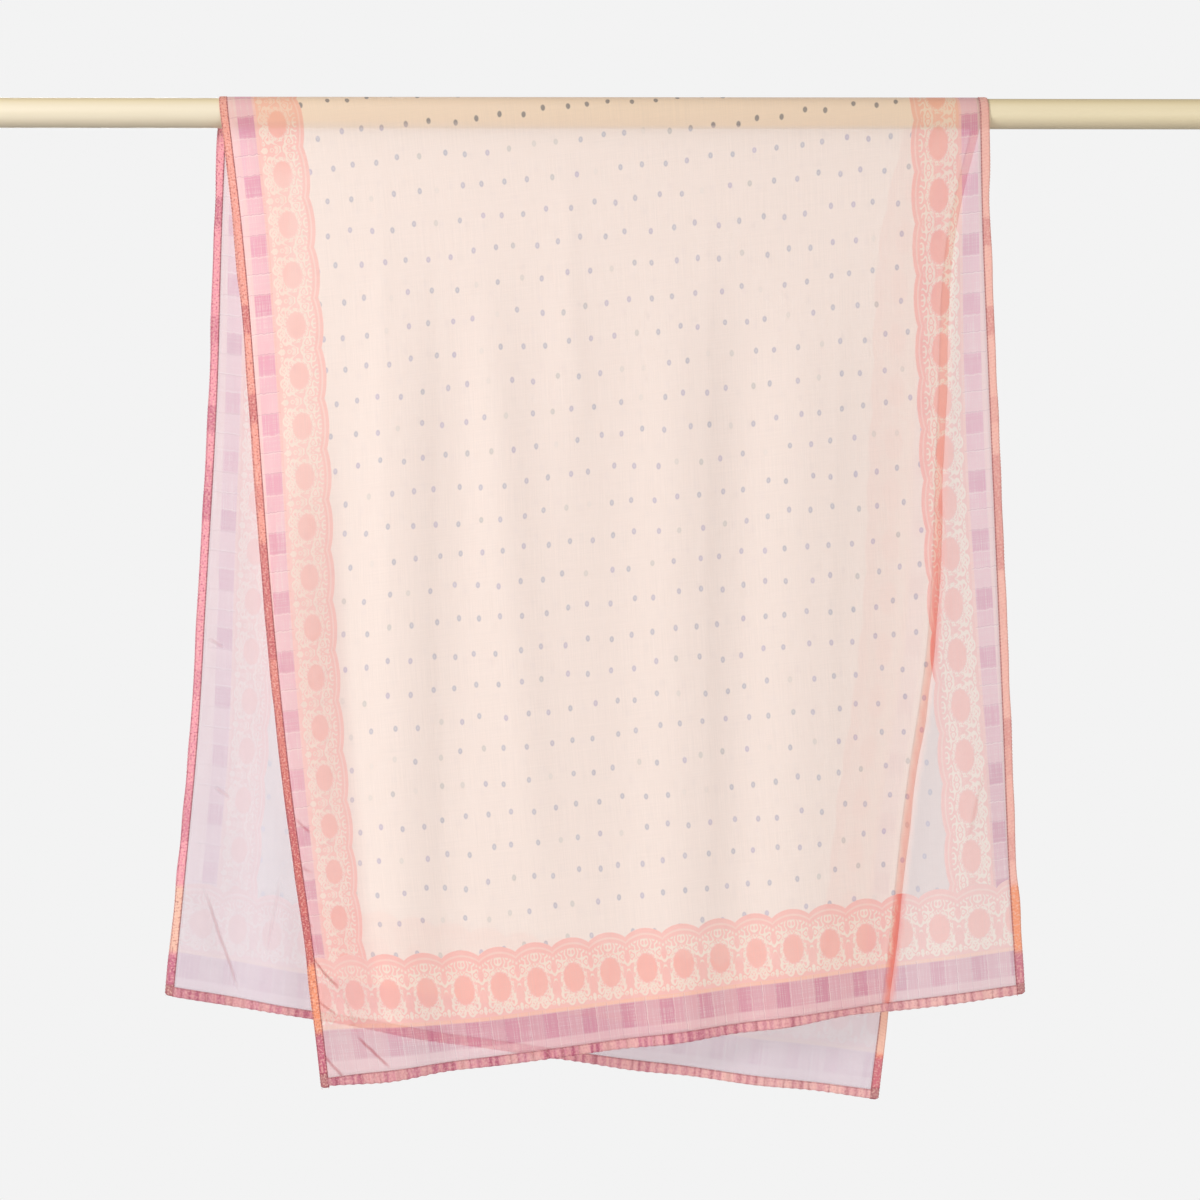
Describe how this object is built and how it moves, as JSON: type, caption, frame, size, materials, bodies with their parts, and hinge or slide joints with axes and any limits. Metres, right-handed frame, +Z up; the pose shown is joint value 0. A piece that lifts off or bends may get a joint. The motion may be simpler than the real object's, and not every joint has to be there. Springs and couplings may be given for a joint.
{
  "type": "hijab scarf draped over a hanging rod",
  "caption": "Sheer printed hijab scarf laid at a slant over a round rod, so that its front and back falls both show.",
  "frame": {"origin": "on the rod's axis, at the middle of the scarf's width over the rod", "axes": "+X along the rod, to the right as seen from the front; -Y towards the front fall's viewer; +Z up"},
  "size_m": [1.2, 0.0436, 0.9412],
  "materials": {
    "rod_paint": "cream satin paint on a wooden rod",
    "voile": "sheer matt voile, printed with small dots and a scalloped border",
    "hem": "turned and stitched hem of the same voile, coral with mauve blocks"
  },
  "bodies": {
    "root": {"rod": "rod_paint", "over_rod": "voile", "over_rod_left_hem": "hem", "over_rod_right_hem": "hem", "front_fall": "voile", "front_left_hem": "hem", "front_right_hem": "hem", "front_end_hem": "hem", "back_fall": "voile", "back_left_hem": "hem", "back_right_hem": "hem", "back_end_hem": "hem"}
  },
  "joints": []
}
